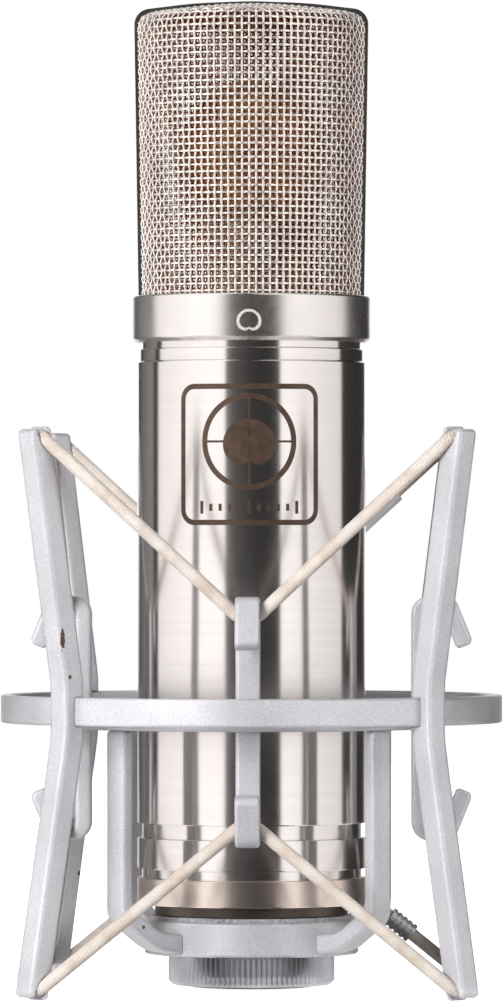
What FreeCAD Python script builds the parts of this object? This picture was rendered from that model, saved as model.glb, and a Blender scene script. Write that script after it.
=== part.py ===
import FreeCAD, Part
import math
import os
from FreeCAD import Vector

# Large-diaphragm side-address condenser microphone, held by its ring nut in an elastic
# spider shock mount.  Millimetres, +Z up, the address side faces -Y.  The origin is on
# the microphone's axis, in the plane of the four feet of the outer frame.

# ---- Elastic cord, one closed loop above and one below -----------------------------------
CORD_R = 1.5
CORD_TIP_BEND = 3.2         # centre line's radius over a fork tip
CORD_HOOK_BEND = 4.5        # centre line's radius in a hook's throat
TIP_CLEARANCE = 0.1         # cord to the fork it is laid in
HOOK_CLEARANCE = 0.25       # cord to the hook that moves against it
THROAT_PLAY = 0.06          # throat's half width past the cord's room
ROOF_PLAY = 0.03            # throat's end past the cord's room
MOUTH_PINCH = 0.15          # fork slot's half width short of the cord's room, to hold it
SLEEVE_R, SLEEVE_LENGTH, SLEEVE_PLACE = 2.25, 12.0, 0.42      # place: share of the run from its tip
FERRULE_R, FERRULE_LENGTH, FERRULE_PLACE = 2.3, 6.6, 0.315
FERRULE_RIBS = 5
SPLICE_CLEARANCE = 0.05

# ---- Outer frame ----------------------------------------------------------------------
CORNERS = (("front_right", -45), ("rear_right", 45), ("rear_left", 135), ("front_left", 225))
FRAME_TOP = 126.9           # centre of a fork tip's end
UPRIGHT_R = 59.8            # outer face at the ring
UPRIGHT_DEPTH, UPRIGHT_WIDTH = 5.8, 5.5
UPRIGHT_EDGE = 0.9
UPRIGHT_BEND = 22.0
TIP_ROUND = 1.2
STRAIGHT_LOW, STRAIGHT_HIGH = 57.5, 69.9
LEAN_UP, LEAN_DOWN = 9.9, 10.7
CORD_SINK = 1.7             # cord's centre below a fork tip's end
UPRIGHT_PROUD = 2.7         # upright's outer face past the ring's
RING_OUT, RING_WALL = UPRIGHT_R - UPRIGHT_PROUD, 2.5
RING_LOW, RING_HEIGHT = 60.6, 6.3
RING_EDGE = 0.5

# ---- Basket ------------------------------------------------------------------------------
SIDES = (("right", 0), ("rear", 90), ("left", 180), ("front", 270))
HOOK_MID, HOOK_HALF = 61.5, 27.9
STEM_DEPTH, HOOK_WIDTH = 3.8, 5.5
HOOK_CORNER, HOOK_SHOULDER, HOOK_EDGE = 4.3, 3.4, 0.8
HOOK_ROOF, TONGUE_DEPTH, TONGUE_LEAN, TONGUE_DROP = 2.97, 4.0, 22.0, 12.2
INNER_RING_OUT, INNER_RING_WALL = 42.5, 3.2
STEM_SET = 6.1              # hook's inner face inside the ring's outer face
STEM_IN = INNER_RING_OUT - STEM_SET
INNER_RING_LOW, INNER_RING_HEIGHT = 59.3, 5.0
POST_WIDTH, POST_EDGE = 5.8, 0.8
ARM_DEPTH = 4.5
DISH_R, DISH_LOW, DISH_HEIGHT = 24.3, 8.0, 7.8
DISH_EDGE = 0.6
FELT_OUT, FELT_HEIGHT = 22.8, 0.9
SEAT_GAP = 0.3              # microphone's shoulder above the felt

# ---- Captive ring nut on the microphone's M28 x 1 thread ---------------------------------
THREAD_R, THREAD_CLEARANCE = 14.0, 0.12
DISH_BORE = THREAD_R + 0.6  # room for the stub
FELT_IN = THREAD_R + 1.6
NUT_WALL, NUT_NECK_WALL = 4.9, 2.8
NUT_R, NUT_NECK_R, NUT_NECK_HEIGHT = THREAD_R + NUT_WALL, THREAD_R + NUT_NECK_WALL, 4.0
NUT_LOW, NUT_FLUTES, FLUTE_DEPTH, NUT_CHAMFER = 1.0, 95, 0.45, 0.9
RUNNING = 0.1               # running clearance of turning and sliding fits
CLIP_BITE, CLIP_PROUD = 0.7, 1.2         # into the nut's neck, and out into the dish
CLIP_IN, CLIP_OUT = NUT_NECK_R - CLIP_BITE, NUT_NECK_R + CLIP_PROUD
CLIP_HEIGHT, CLIP_LIFT = 1.0, 1.7
CLIP_GAP_ANGLE = 40.0

# ---- Microphone body --------------------------------------------------------------------
STUB_LOW = 0.5
SHOULDER_R, SHOULDER_HEIGHT = 22.0, 2.3
BODY_R, TUBE_WALL = 26.0, 1.2
RECESS = 1.0                # depth of the turned grooves
BASE_RING_HEIGHT, BASE_RING_BORE = 6.1, 20.0
GROOVE_LOW, BAND_HEIGHT, GROOVE_HIGH = 2.0, 7.1, 3.2
BAND_WALL = 3.0
TUBE_LENGTH = 104.85
TOP_RING_R, TOP_RING_HEIGHT, TOP_RING_GAP = 25.5, 2.75, 0.2
TOP_BORE, SPIGOT_DEPTH, SPIGOT_WALL = 21.0, 3.2, 1.6
NECK_R, NECK_HEIGHT = 25.0, 1.5
COLLAR_R, COLLAR_HEIGHT, COLLAR_BORE, COLLAR_CHAMFER = 27.0, 10.6, 24.0, 0.9
TURNED_EDGE = 0.25

# ---- XLR outlet in the stub ----------------------------------------------------------------
WELL_R, WELL_DEPTH = 9.6, 15.5
INSERT_HEIGHT = 3.0
PIN_R, PIN_RECESS, PIN_TAIL, PIN_CIRCLE = 1.2, 4.8, 2.2, 4.2
PIN_ANGLES = (90, 210, 330)

# ---- Head grille ---------------------------------------------------------------------------
GRILLE_LOW_R, GRILLE_HIGH_R, GRILLE_HEIGHT = 25.4, 26.4, 66.9
GRILLE_RISE, GRILLE_SHOULDER = 2.2, 3.2
MESH_WALL, LINING_GAP, LINING_WALL = 0.9, 0.15, 0.3
RIB_WIDTH, RIB_PROUD = 5.0, 0.4

# ---- Capsule -------------------------------------------------------------------------------
CAPSULE_LIFT = 33.0         # capsule's centre above the collar's top
BACKPLATE_R, BACKPLATE_DEPTH = 16.0, 3.2
DIAPHRAGM_R, DIAPHRAGM_DEPTH = 15.4, 0.15
CLAMP_IN, CLAMP_DEPTH = 13.2, 1.2
CAPSULE_SCREWS, SCREW_CIRCLE, SCREW_R, SCREW_HEAD_R, SCREW_HEAD = 8, 14.5, 0.45, 0.85, 0.55
TERMINAL_R, TERMINAL_HEAD = 1.6, 0.7
LEAD_R, LEAD_STANDOFF, LEAD_BEND = 0.4, 1.9, 1.1
DECK_HEIGHT, DECK_SINK = 3.0, 0.6
POST_X, POST_Y = 10.0, 6.0

# ---- Chassis -------------------------------------------------------------------------------
PLATE_HEIGHT = 3.0
RAIL_X, RAIL_WIDTH, RAIL_DEPTH = 15.0, 3.0, 8.0
BOARD_WALL, BOARD_LOW, BOARD_HEIGHT = 1.6, 46.0, 84.0
CORE_X, CORE_Y, CORE_Z, CORE_LIFT = 22.0, 15.0, 24.0, 5.0
COIL_X, COIL_PROUD = 13.0, 2.5
CAPACITORS = ((-8.5, 14.0, 5.0, 18.0), (4.5, 12.0, 6.5, 24.0), (-6.0, 44.0, 4.0, 14.0), (7.0, 47.0, 4.0, 14.0))
TRANSISTOR_R, TRANSISTOR_HEIGHT, TRANSISTOR_LIFT = 2.4, 4.6, 70.0
CHASSIS_SCREW_R, CHASSIS_HEAD_R, CHASSIS_HEAD, CHASSIS_SCREW_LENGTH = 1.0, 2.0, 1.4, 8.0

# ---- Stand joint behind the ring ---------------------------------------------------------
PIVOT_Y, PIVOT_Z = 75.0, 58.0
EAR_R, TONGUE_WIDTH, CHEEK_WIDTH, CHEEK_GAP = 8.0, 8.0, 4.6, 0.15
LUG_PAD_X, LUG_PAD_LOW, LUG_PAD_DEPTH = 18.0, 55.0, 5.0
SOCKET_R, SOCKET_LOW, SOCKET_HEIGHT = 11.0, 30.0, 15.5
STAND_THREAD_R, STAND_THREAD_DEPTH = 7.94, 12.5      # 5/8"-27
ADAPTER_BORE_R, ADAPTER_HEIGHT = 4.0, 12.0           # 3/8"-16, its minor diameter
ADAPTER_FLANGE_R, ADAPTER_FLANGE = 9.2, 1.2
BOLT_R, BOLT_HEAD_R, BOLT_HEAD, BOLT_REACH = 3.0, 5.2, 3.4, 8.0
WASHER_R, WASHER_HEIGHT = 6.0, 1.2
KNOB_HUB_R, KNOB_HEIGHT, KNOB_LOBES, LOBE_R, LOBE_CIRCLE = 7.0, 10.0, 5, 3.2, 8.2


# ---- Shapes --------------------------------------------------------------------------------
def cylinder(radius, low, high, x=0.0, y=0.0):
    """An upright cylinder from one height to another."""
    return Part.makeCylinder(radius, high - low, Vector(x, y, low))


def tube(inner, outer, low, high):
    """An upright ring with a plain bore."""
    return cylinder(outer, low, high).cut(cylinder(inner, low - 1, high + 1))


def rod(radius, start, end):
    """A cylinder between two points."""
    start, end = Vector(*start), Vector(*end)
    return Part.makeCylinder(radius, (end - start).Length, start, end - start)


def block(x, y, z):
    """A box from three (low, high) pairs."""
    size = [high - low for low, high in (x, y, z)]
    return Part.makeBox(*size, Vector(x[0], y[0], z[0]))


def turned(shape, degrees):
    """A copy turned about the microphone's axis."""
    copy = shape.copy()
    copy.rotate(Vector(0, 0, 0), Vector(0, 0, 1), degrees)
    return copy


def corner_arc(before, corner, after, radius):
    """The arc that rounds one corner, with its two tangent points."""
    to_before, to_after = (before - corner).normalize(), (after - corner).normalize()
    half = to_before.getAngle(to_after) / 2
    middle = (to_before + to_after).normalize()
    start = corner + to_before * (radius / math.tan(half))
    end = corner + to_after * (radius / math.tan(half))
    crown = corner + middle * (radius / math.sin(half) - radius)
    return start, end, Part.Arc(start, crown, end).toShape()


def rounded_loop(points, radii):
    """A closed wire of straight runs, each corner rounded by its own radius."""
    bends = []
    for index, (corner, radius) in enumerate(zip(points, radii)):
        before, after = points[index - 1], points[(index + 1) % len(points)]
        bends.append(corner_arc(before, corner, after, radius) if radius else (corner, corner, None))
    edges = []
    for index, (start, end, arc) in enumerate(bends):
        if arc:
            edges.append(arc)
        following = bends[(index + 1) % len(bends)][0]
        if (following - end).Length > 1e-6:
            edges.append(Part.LineSegment(end, following).toShape())
    return Part.Wire(edges)


def outline(corners):
    """A face in the XZ plane from (x, z, corner radius) rows."""
    points = [Vector(x, 0, z) for x, z, _ in corners]
    return Part.Face(rounded_loop(points, [radius for _, _, radius in corners]))


def plate(corners, width):
    """An outline in the XZ plane, made as wide as given, centred on it."""
    solid = outline(corners).extrude(Vector(0, width, 0))
    solid.translate(Vector(0, -width / 2, 0))
    return solid


def spun(corners):
    """An outline turned a full revolution about the Z axis."""
    return outline(corners).revolve(Vector(0, 0, 0), Vector(0, 0, 1), 360)


def soften_sides(solid, width, radius):
    """Rounds the long edges of a plate."""
    def on_side(edge):
        return all(abs(abs(vertex.Y) - width / 2) < 1e-4 for vertex in edge.Vertexes)
    return solid.makeFillet(min(radius, width / 3), [edge for edge in solid.Edges if on_side(edge)])


def soften_rims(ring, radius):
    """Rounds every circular rim of a ring."""
    rims = [edge for edge in ring.Edges if edge.Curve.TypeId == "Part::GeomCircle"]
    return ring.makeFillet(radius, rims)


def mitred(points, distance):
    """An open line in the XZ plane, moved sideways, its corners mitred."""
    runs = [(b - a).normalize() for a, b in zip(points, points[1:])]
    normals = [Vector(run.z, 0, -run.x) for run in runs]
    moved = [points[0] + normals[0] * distance]
    for point, first, second in zip(points[1:], normals, normals[1:]):
        moved.append(point + (first + second) * (distance / (1 + first.dot(second))))
    return moved + [points[-1] + normals[-1] * distance]


# ---- Cords ---------------------------------------------------------------------------------
def leg_radius(end, lean):
    """Distance of a leg's centre line from the axis, at a height."""
    lean = math.radians(lean)
    rise = end - STRAIGHT_HIGH if end > STRAIGHT_HIGH else STRAIGHT_LOW - end
    return UPRIGHT_R + rise * math.tan(lean) - UPRIGHT_DEPTH / 2 / math.cos(lean)


def foot_height():
    """Height of the foot's centre, so that its rounded inner lip stands at zero."""
    lean = math.radians(LEAN_DOWN)
    rounding = TIP_ROUND * (math.cos(lean) + math.sin(lean) - 1)
    return UPRIGHT_DEPTH / 2 * math.sin(lean) - rounding


def throat_radius():
    """Distance of the cord's centre from the axis inside a hook."""
    return STEM_IN + STEM_DEPTH + CORD_R + HOOK_CLEARANCE + THROAT_PLAY


def throat_offset():
    """Height of the cord's centre inside a hook, from the hook's middle."""
    return HOOK_HALF - HOOK_ROOF - ROOF_PLAY - CORD_R - HOOK_CLEARANCE


def polar(radius, degrees, height):
    """A point by its distance from the axis, its bearing and its height."""
    angle = math.radians(degrees)
    return Vector(radius * math.cos(angle), radius * math.sin(angle), height)


def past_bend(bend, corner, neighbours, radius):
    """The corner whose rounding passes through the wanted middle of the bend."""
    first, second = [(point - corner).normalize() for point in neighbours]
    inward = first + second
    half = first.getAngle(second) / 2
    return bend - inward.normalize() * (radius / math.sin(half) - radius)


def lace_corners(tip_height, tip_radius, hook_height):
    """The eight corners of a taut loop, fork tip and hook in turn."""
    tip_bend = polar(tip_radius, 45, tip_height)
    hook_bend = polar(throat_radius(), 0, hook_height)
    tip, hook = tip_bend, hook_bend
    for _ in range(12):
        tip = past_bend(tip_bend, tip, (hook, turned_point(hook, 90)), CORD_TIP_BEND)
        hook = past_bend(hook_bend, hook, (tip, turned_point(tip, -90)), CORD_HOOK_BEND)
    corners = []
    for quarter in range(4):
        corners += [turned_point(hook, 90 * quarter), turned_point(tip, 90 * quarter)]
    return corners


def turned_point(point, degrees):
    """A point turned about the Z axis."""
    return FreeCAD.Rotation(Vector(0, 0, 1), degrees).multVec(point)


def upper_corners():
    height = FRAME_TOP - CORD_SINK
    return lace_corners(height, leg_radius(height, LEAN_UP), HOOK_MID + throat_offset())


def lower_corners():
    height = foot_height() + CORD_SINK
    return lace_corners(height, leg_radius(height, LEAN_DOWN), HOOK_MID - throat_offset())


def swept(path, radius):
    """A round cord along a wire of straight runs and tangent arcs."""
    first = path.OrderedEdges[0]
    start, tangent = first.valueAt(first.FirstParameter), first.tangentAt(first.FirstParameter)
    ring = Part.Wire(Part.makeCircle(radius, start, tangent))
    return path.makePipeShell([ring], True, False)


def laced(corners):
    """The whole loop of cord."""
    path = rounded_loop(corners, [CORD_HOOK_BEND, CORD_TIP_BEND] * 4)
    cord = swept(path, CORD_R)
    exact = math.pi * CORD_R ** 2 * path.Length
    print("cord", round(path.Length, 1), "mm long, volume against section x length",
          round(cord.Volume / exact, 5), "bends", CORD_HOOK_BEND, CORD_TIP_BEND)
    return cord


def bend_room(corners, index, bend, radius):
    """Room for the cord round one corner of its loop, turned to point along +X."""
    before, corner, after = corners[index - 1], corners[index], corners[index + 1]
    start, end, arc = corner_arc(before, corner, after, bend)
    enter = start + (before - start).normalize() * 3 * bend
    leave = end + (after - end).normalize() * 3 * bend
    runs = Part.LineSegment(enter, start).toShape(), Part.LineSegment(end, leave).toShape()
    return turned(swept(Part.Wire([runs[0], arc, runs[1]]), radius), -45 * index)


def on_run(corners, first, share, length):
    """The two ends of a piece on one straight run of a cord, at a share of the run."""
    start, end = corners[first], corners[(first + 1) % len(corners)]
    along = (end - start).normalize()
    middle = start + (end - start) * share
    return middle - along * (length / 2), middle + along * (length / 2)


def sleeve():
    """A plain sleeve over the upper cord's splice, on the rear right run."""
    ends = on_run(upper_corners(), 1, SLEEVE_PLACE, SLEEVE_LENGTH)
    return rod(SLEEVE_R, *ends).cut(rod(CORD_R + SPLICE_CLEARANCE, *ends))


def ferrule():
    """A crimped ferrule over the lower cord's splice, with raised ribs."""
    corners = lower_corners()
    ends = on_run(corners, 1, FERRULE_PLACE, FERRULE_LENGTH)
    along = (ends[1] - ends[0]).normalize()
    pitch = FERRULE_LENGTH / (2 * FERRULE_RIBS - 1)
    solid = rod(FERRULE_R - 0.3, *ends)
    for rib in range(FERRULE_RIBS):
        start = ends[0] + along * (2 * rib * pitch)
        solid = solid.fuse(rod(FERRULE_R, start, start + along * pitch))
    return solid.cut(rod(CORD_R + SPLICE_CLEARANCE, *ends)).removeSplitter()


# ---- Outer frame ---------------------------------------------------------------------------
def outer_ring():
    ring = tube(RING_OUT - RING_WALL, RING_OUT, RING_LOW, RING_LOW + RING_HEIGHT)
    return soften_rims(ring, RING_EDGE)


def upright(upper_room, lower_room):
    """A bent bar with a forked tip at each end, notched for the ring; it points along +X."""
    foot = foot_height()
    line = [Vector(leg_radius(FRAME_TOP, LEAN_UP), 0, FRAME_TOP),
            Vector(UPRIGHT_R - UPRIGHT_DEPTH / 2, 0, STRAIGHT_HIGH),
            Vector(UPRIGHT_R - UPRIGHT_DEPTH / 2, 0, STRAIGHT_LOW),
            Vector(leg_radius(foot, LEAN_DOWN), 0, foot)]
    radii = [TIP_ROUND, UPRIGHT_BEND, UPRIGHT_BEND, TIP_ROUND]
    sides = [mitred(line, UPRIGHT_DEPTH / 2), mitred(line, -UPRIGHT_DEPTH / 2)[::-1]]
    corners = [(point.x, point.z, radius) for side, bends in zip(sides, (radii, radii[::-1]))
               for point, radius in zip(side, bends)]
    solid = soften_sides(plate(corners, UPRIGHT_WIDTH), UPRIGHT_WIDTH, UPRIGHT_EDGE)
    notch = tube(RING_OUT - RING_WALL - 9, RING_OUT, RING_LOW, RING_LOW + RING_HEIGHT)
    solid = solid.cut(notch.common(block((0, 80), (-9, 9), (RING_LOW, RING_LOW + RING_HEIGHT))))
    for height, lean, way in ((FRAME_TOP - CORD_SINK, LEAN_UP, 1), (foot + CORD_SINK, LEAN_DOWN, -1)):
        solid = solid.cut(fork_slot(height, lean, way))
    return solid.cut(upper_room).cut(lower_room)


def fork_slot(height, lean, way):
    """The slot between a fork's lips, open at its tip."""
    half = CORD_R + TIP_CLEARANCE - MOUTH_PINCH
    slot = block((-half, half), (-UPRIGHT_WIDTH, UPRIGHT_WIDTH), (0, 3 * CORD_SINK))
    slot.rotate(Vector(0, 0, 0), Vector(0, 1, 0), lean if way > 0 else 180 - lean)
    slot.translate(Vector(leg_radius(height, lean), 0, height))
    return slot


# ---- Basket --------------------------------------------------------------------------------
def inner_ring():
    low = INNER_RING_LOW
    ring = tube(INNER_RING_OUT - INNER_RING_WALL, INNER_RING_OUT, low, low + INNER_RING_HEIGHT)
    return soften_rims(ring, RING_EDGE)


def hook(upper_room, lower_room):
    """A stem with a hook over the upper cord and one under the lower; it points along +X."""
    lean = math.radians(TONGUE_LEAN)
    reach = throat_radius() + CORD_R + HOOK_CLEARANCE + THROAT_PLAY
    inner_top = reach - (HOOK_HALF - HOOK_ROOF - throat_offset()) * math.tan(lean)
    inner_tip = reach + (throat_offset() - HOOK_HALF + TONGUE_DROP) * math.tan(lean)
    outer_top = reach - (HOOK_HALF - throat_offset()) * math.tan(lean) + TONGUE_DEPTH / math.cos(lean)
    tip = HOOK_HALF - TONGUE_DROP
    stem = STEM_IN + STEM_DEPTH
    upper = [(STEM_IN, HOOK_HALF, HOOK_CORNER), (outer_top, HOOK_HALF, HOOK_SHOULDER),
             (inner_tip + TONGUE_DEPTH * math.cos(lean), tip + TONGUE_DEPTH * math.sin(lean), 1.4),
             (inner_tip, tip, 1.0), (inner_top, HOOK_HALF - HOOK_ROOF, 0.8),
             (stem, HOOK_HALF - HOOK_ROOF, 0.8)]
    lower = [(radius, -height, bend) for radius, height, bend in reversed(upper)]
    solid = plate([(r, HOOK_MID + z, bend) for r, z, bend in upper + lower], HOOK_WIDTH)
    solid = soften_sides(solid, HOOK_WIDTH, HOOK_EDGE)
    ring = tube(INNER_RING_OUT - INNER_RING_WALL, INNER_RING_OUT, INNER_RING_LOW,
                INNER_RING_LOW + INNER_RING_HEIGHT)
    return solid.cut(ring).cut(upper_room).cut(lower_room)


def post():
    """A post under the inner ring that bends inwards as an arm to the dish; points along +X."""
    outside, inside = INNER_RING_OUT, INNER_RING_OUT - INNER_RING_WALL
    top, arm_low, arm_top = INNER_RING_LOW, DISH_LOW + 0.1, DISH_LOW + 0.1 + ARM_DEPTH
    corners = [(outside, top, 0), (outside, arm_low + 8.7, 5.0), (outside - 11, arm_low + 1.5, 14.0),
               (DISH_R - 4, arm_low, 0), (DISH_R - 4, arm_top, 0), (inside - 9, arm_top + 1.2, 9.0),
               (inside, arm_top + 6.8, 4.5), (inside, top, 0)]
    solid = soften_sides(plate(corners, POST_WIDTH), POST_WIDTH, POST_EDGE)
    return solid.cut(cylinder(DISH_R, 0, top))


def seat_dish():
    """The bored dish that the arms carry, with a counterbore and a groove for the nut's clip."""
    low, high = DISH_LOW, DISH_LOW + DISH_HEIGHT
    dish = soften_rims(cylinder(DISH_R, low, high), DISH_EDGE)
    dish = dish.cut(cylinder(DISH_BORE, low - 1, high + 1))
    dish = dish.cut(cylinder(NUT_NECK_R + RUNNING, low - 1, low + NUT_NECK_HEIGHT + 0.4))
    return dish.cut(cylinder(CLIP_OUT, low + CLIP_LIFT, low + CLIP_LIFT + CLIP_HEIGHT))


def seat_felt():
    low = DISH_LOW + DISH_HEIGHT
    return tube(FELT_IN, FELT_OUT, low, low + FELT_HEIGHT)


def nut_clip():
    """A sprung ring with a gap, held in the dish's groove; it carries the nut."""
    low = DISH_LOW + CLIP_LIFT
    clip = tube(CLIP_IN, CLIP_OUT, low, low + CLIP_HEIGHT)
    side = 2 * CLIP_OUT * math.sin(math.radians(CLIP_GAP_ANGLE / 2))
    return clip.cut(block((0, 2 * CLIP_OUT), (-side / 2, side / 2), (low - 1, low + 2)))


# ---- Ring nut ------------------------------------------------------------------------------
def ring_nut():
    """A fluted nut with a neck that the clip holds in the dish."""
    top = DISH_LOW - RUNNING
    points = []
    for step in range(2 * NUT_FLUTES):
        radius = NUT_R - FLUTE_DEPTH * (step % 2)
        points.append(polar(radius, step * 180 / NUT_FLUTES, NUT_LOW))
    fluted = Part.Face(Part.makePolygon(points + points[:1])).extrude(Vector(0, 0, top - NUT_LOW))
    envelope = spun([(0, NUT_LOW, 0), (NUT_R - NUT_CHAMFER, NUT_LOW, 0), (NUT_R, NUT_LOW + NUT_CHAMFER, 0),
                     (NUT_R, top - NUT_CHAMFER / 2, 0), (NUT_R - NUT_CHAMFER / 2, top, 0), (0, top, 0)])
    nut = fluted.common(envelope)
    nut = nut.fuse(cylinder(NUT_NECK_R, top - 1, DISH_LOW + NUT_NECK_HEIGHT))
    low = DISH_LOW + CLIP_LIFT - RUNNING
    groove = tube(CLIP_IN - RUNNING, NUT_NECK_R + 1, low, low + CLIP_HEIGHT + 2 * RUNNING)
    bore = cylinder(THREAD_R + THREAD_CLEARANCE, 0, DISH_LOW + NUT_NECK_HEIGHT + 1)
    return nut.cut(groove).cut(bore)


# ---- Levels of the microphone -------------------------------------------------------------
SHOULDER_LOW = DISH_LOW + DISH_HEIGHT + FELT_HEIGHT + SEAT_GAP
BASE_LOW = SHOULDER_LOW + SHOULDER_HEIGHT
BAND_LOW = BASE_LOW + BASE_RING_HEIGHT
TUBE_LOW = BAND_LOW + GROOVE_LOW + BAND_HEIGHT + GROOVE_HIGH
TOP_LOW = TUBE_LOW + TUBE_LENGTH + TOP_RING_GAP
COLLAR_LOW = TOP_LOW + TOP_RING_HEIGHT + NECK_HEIGHT
GRILLE_LOW = COLLAR_LOW + COLLAR_HEIGHT
CAPSULE_Z = GRILLE_LOW + CAPSULE_LIFT
WELL_TOP = STUB_LOW + WELL_DEPTH
LOWER_PLATE_LOW = BAND_LOW + GROOVE_LOW
RAIL_LOW = LOWER_PLATE_LOW + PLATE_HEIGHT
UPPER_PLATE_LOW = TOP_LOW
DECK_TOP = GRILLE_LOW - DECK_SINK


# ---- Microphone body --------------------------------------------------------------------
def threaded_base():
    """Stub with the M28 thread and the XLR well, its shoulder and a spigot in the base ring."""
    base = cylinder(THREAD_R, STUB_LOW, SHOULDER_LOW).fuse(
        cylinder(SHOULDER_R, SHOULDER_LOW, BASE_LOW)).fuse(
        cylinder(BASE_RING_BORE, BASE_LOW, BAND_LOW - 1))
    base = base.removeSplitter()
    base = base.cut(cylinder(WELL_R, STUB_LOW - 1, WELL_TOP + INSERT_HEIGHT))
    return base.cut(cylinder(BASE_RING_BORE - 3, WELL_TOP + INSERT_HEIGHT, BAND_LOW))


def base_ring():
    ring = tube(BASE_RING_BORE, BODY_R, BASE_LOW, BAND_LOW)
    return soften_rims(ring, TURNED_EDGE)


def band_ring():
    """The grooved ring that closes the tube and carries the chassis."""
    low, bore = BAND_LOW, BODY_R - BAND_WALL
    groove, top = BODY_R - RECESS, TUBE_LOW
    band_low, band_top = low + GROOVE_LOW, low + GROOVE_LOW + BAND_HEIGHT
    return spun([(BASE_RING_BORE, low, 0), (groove, low, 0), (groove, band_low, 0),
                 (BODY_R, band_low, TURNED_EDGE), (BODY_R, band_top, TURNED_EDGE), (groove, band_top, 0),
                 (groove, top, 0), (BODY_R - TUBE_WALL, top, 0), (BODY_R - TUBE_WALL, top + 3, 0),
                 (bore, top + 3, 0), (bore, band_low, 0), (BASE_RING_BORE, band_low, 0)])


def body_tube():
    ring = tube(BODY_R - TUBE_WALL, BODY_R, TUBE_LOW, TUBE_LOW + TUBE_LENGTH)
    return soften_rims(ring, TURNED_EDGE)


def top_ring():
    """The ring between tube and collar, with a spigot in each."""
    low, spigot = TOP_LOW, BODY_R - TUBE_WALL
    rim, neck = low + TOP_RING_HEIGHT, low + TOP_RING_HEIGHT + NECK_HEIGHT
    return spun([(TOP_BORE, low, 0), (spigot - SPIGOT_WALL, low, 0), (spigot - SPIGOT_WALL, low - SPIGOT_DEPTH, 0),
                 (spigot, low - SPIGOT_DEPTH, 0), (spigot, low, 0), (TOP_RING_R, low, 0),
                 (TOP_RING_R, rim, TURNED_EDGE), (NECK_R, rim, 0), (NECK_R, neck, 0),
                 (COLLAR_BORE, neck, 0), (COLLAR_BORE, neck + 3, 0), (TOP_BORE, neck + 3, 0)])


def head_collar():
    low, high = COLLAR_LOW, GRILLE_LOW
    return spun([(COLLAR_BORE, low, 0), (COLLAR_R - COLLAR_CHAMFER, low, 0), (COLLAR_R, low + COLLAR_CHAMFER, 0.6),
                 (COLLAR_R, high, 0.5), (COLLAR_BORE, high, 0)])


# ---- Head grille ---------------------------------------------------------------------------
def grille_solid(inset):
    """The filled outer shape of the head, made smaller all round by an inset."""
    shoulder = GRILLE_LOW + GRILLE_HEIGHT - GRILLE_RISE - inset
    crown = GRILLE_LOW + GRILLE_HEIGHT - inset
    low_r, high_r = GRILLE_LOW_R - inset, GRILLE_HIGH_R - inset
    return spun([(0, GRILLE_LOW, 0), (low_r, GRILLE_LOW, 0), (high_r, shoulder, GRILLE_SHOULDER - min(inset, 2)),
                 (high_r / 2, crown - GRILLE_RISE / 4, 90.0), (0, crown, 0)])


def grille_shell(inset, wall):
    return grille_solid(inset).cut(grille_solid(inset + wall))


def head_rib():
    """The strip over the head, in the plane between its front and rear halves."""
    strip = grille_solid(0).cut(grille_solid(RIB_PROUD * 2))
    outer = grille_solid(-RIB_PROUD).cut(grille_solid(0)).fuse(strip).removeSplitter()
    span, top = 2 * GRILLE_HIGH_R, GRILLE_LOW + GRILLE_HEIGHT
    return outer.common(block((-span, span), (-RIB_WIDTH / 2, RIB_WIDTH / 2), (GRILLE_LOW, top + 5)))


# ---- Capsule -------------------------------------------------------------------------------
def disc(radius, near, far, way):
    """A disc across the capsule's axis, between two distances from its middle."""
    return rod(radius, (0, way * near, CAPSULE_Z), (0, way * far, CAPSULE_Z))


def screw_places():
    step = 360 / CAPSULE_SCREWS
    return [(SCREW_CIRCLE * math.cos(math.radians(step * i)), CAPSULE_Z + SCREW_CIRCLE * math.sin(math.radians(step * i)))
            for i in range(CAPSULE_SCREWS)]


FILM_NEAR = BACKPLATE_DEPTH
CLAMP_NEAR = FILM_NEAR + DIAPHRAGM_DEPTH
CLAMP_FAR = CLAMP_NEAR + CLAMP_DEPTH
TERMINAL_FAR = CLAMP_NEAR + TERMINAL_HEAD


def capsule_screws():
    """Rim screws and a terminal screw on each face, as separate solids."""
    screws = []
    for way in (-1, 1):
        for x, z in screw_places():
            shank = rod(SCREW_R, (x, way * (BACKPLATE_DEPTH - 2), z), (x, way * CLAMP_FAR, z))
            head = rod(SCREW_HEAD_R, (x, way * CLAMP_FAR, z), (x, way * (CLAMP_FAR + SCREW_HEAD), z))
            screws.append(shank.fuse(head).removeSplitter())
        shank = disc(SCREW_R, BACKPLATE_DEPTH - 1.5, CLAMP_NEAR, way)
        screws.append(shank.fuse(disc(TERMINAL_R, CLAMP_NEAR, TERMINAL_FAR, way)).removeSplitter())
    return Part.makeCompound(screws)


def drilled(solid):
    """A piece of the capsule, with the holes that its screws need."""
    return solid.cut(capsule_screws())


def backplate(way):
    return drilled(disc(BACKPLATE_R, 0, BACKPLATE_DEPTH, way))


def diaphragm(way):
    return drilled(disc(DIAPHRAGM_R, FILM_NEAR, CLAMP_NEAR, way))


def clamp_ring(way):
    ring = disc(BACKPLATE_R, CLAMP_NEAR, CLAMP_FAR, way).cut(disc(CLAMP_IN, CLAMP_NEAR - 1, CLAMP_FAR + 1, way))
    return drilled(ring)


def capsule_deck():
    return cylinder(COLLAR_BORE, DECK_TOP - DECK_HEIGHT, DECK_TOP)


def capsule_post():
    """The insulating post under the capsule, hollowed to its rim."""
    solid = block((-POST_X / 2, POST_X / 2), (-POST_Y / 2, POST_Y / 2), (DECK_TOP, CAPSULE_Z))
    return solid.cut(rod(BACKPLATE_R, (0, -POST_Y, CAPSULE_Z), (0, POST_Y, CAPSULE_Z)))


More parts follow.
